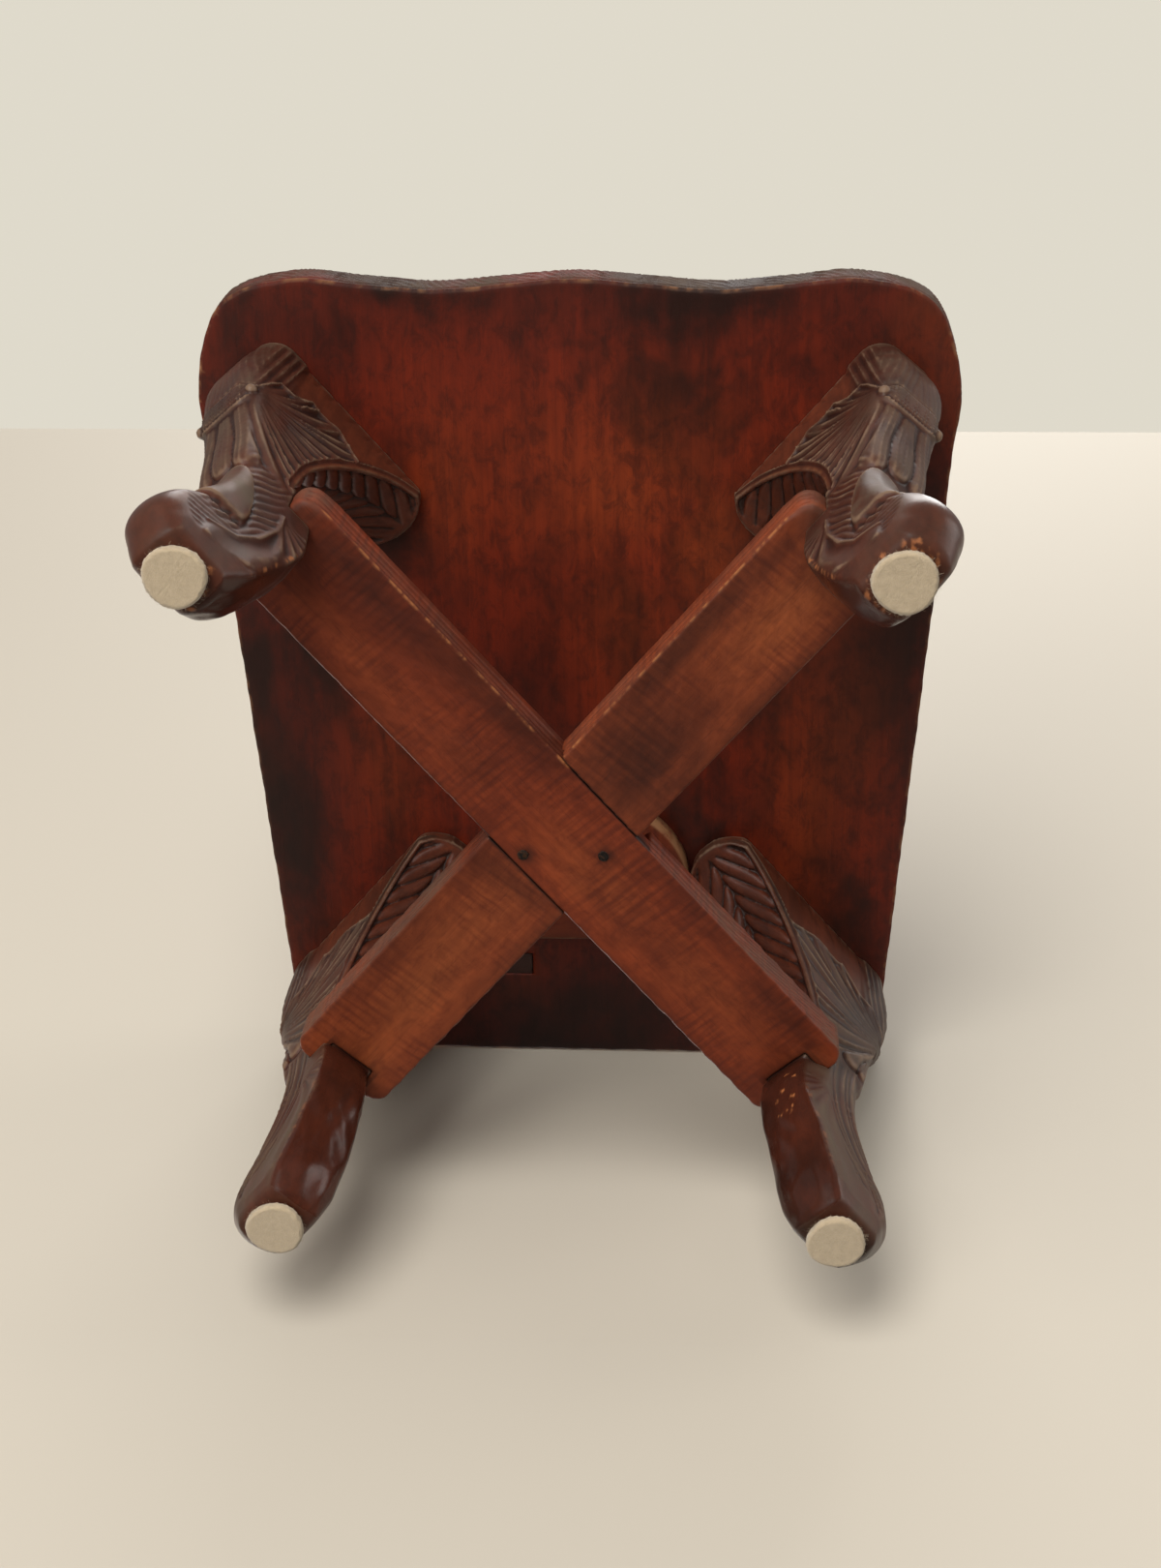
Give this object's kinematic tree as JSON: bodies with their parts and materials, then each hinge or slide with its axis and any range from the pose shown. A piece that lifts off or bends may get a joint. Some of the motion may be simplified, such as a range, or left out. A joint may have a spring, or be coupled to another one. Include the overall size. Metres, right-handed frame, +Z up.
{
  "type": "low chair",
  "caption": "Low carved hardwood chair: serpentine plank seat, raked vase-shaped plank back, diagonal scroll-bracket legs, halved cross stretcher and felt foot pads.",
  "frame": {"origin": "floor level under the middle of the seat, at the undersides of the felt pads", "axes": "+Z up, -Y toward the front edge of the seat, +X to the right seen from the front"},
  "size_m": [0.3976, 0.4602, 0.719],
  "materials": {
    "seat_wood": "red-brown oiled hardwood, worn satin",
    "back_wood": "red-brown carved hardwood, worn satin",
    "stretcher_wood": "lighter orange-brown hardwood, worn, dusty edges",
    "leg_wood": "dark red-brown carved hardwood, rubbed arrises",
    "cleat_wood": "plain raw light wood",
    "peg_wood": "plain light wood",
    "nail_iron": "dark hand-driven iron",
    "pad_felt": "pressed beige felt"
  },
  "bodies": {
    "root": {"seat_plank": "seat_wood", "back_panel": "back_wood", "back_wedge_left": "peg_wood", "back_wedge_right": "peg_wood", "through_stretcher": "stretcher_wood", "lapped_stretcher": "stretcher_wood", "crossing_nails": "nail_iron", "seat_cleat": "cleat_wood", "cleat_nails": "nail_iron", "front_left_leg": "leg_wood", "front_left_dowels": "peg_wood", "front_left_felt_pad": "pad_felt", "front_right_leg": "leg_wood", "front_right_dowels": "peg_wood", "front_right_felt_pad": "pad_felt", "rear_left_leg": "leg_wood", "rear_left_dowels": "peg_wood", "rear_left_felt_pad": "pad_felt", "rear_right_leg": "leg_wood", "rear_right_dowels": "peg_wood", "rear_right_felt_pad": "pad_felt"}
  },
  "joints": []
}
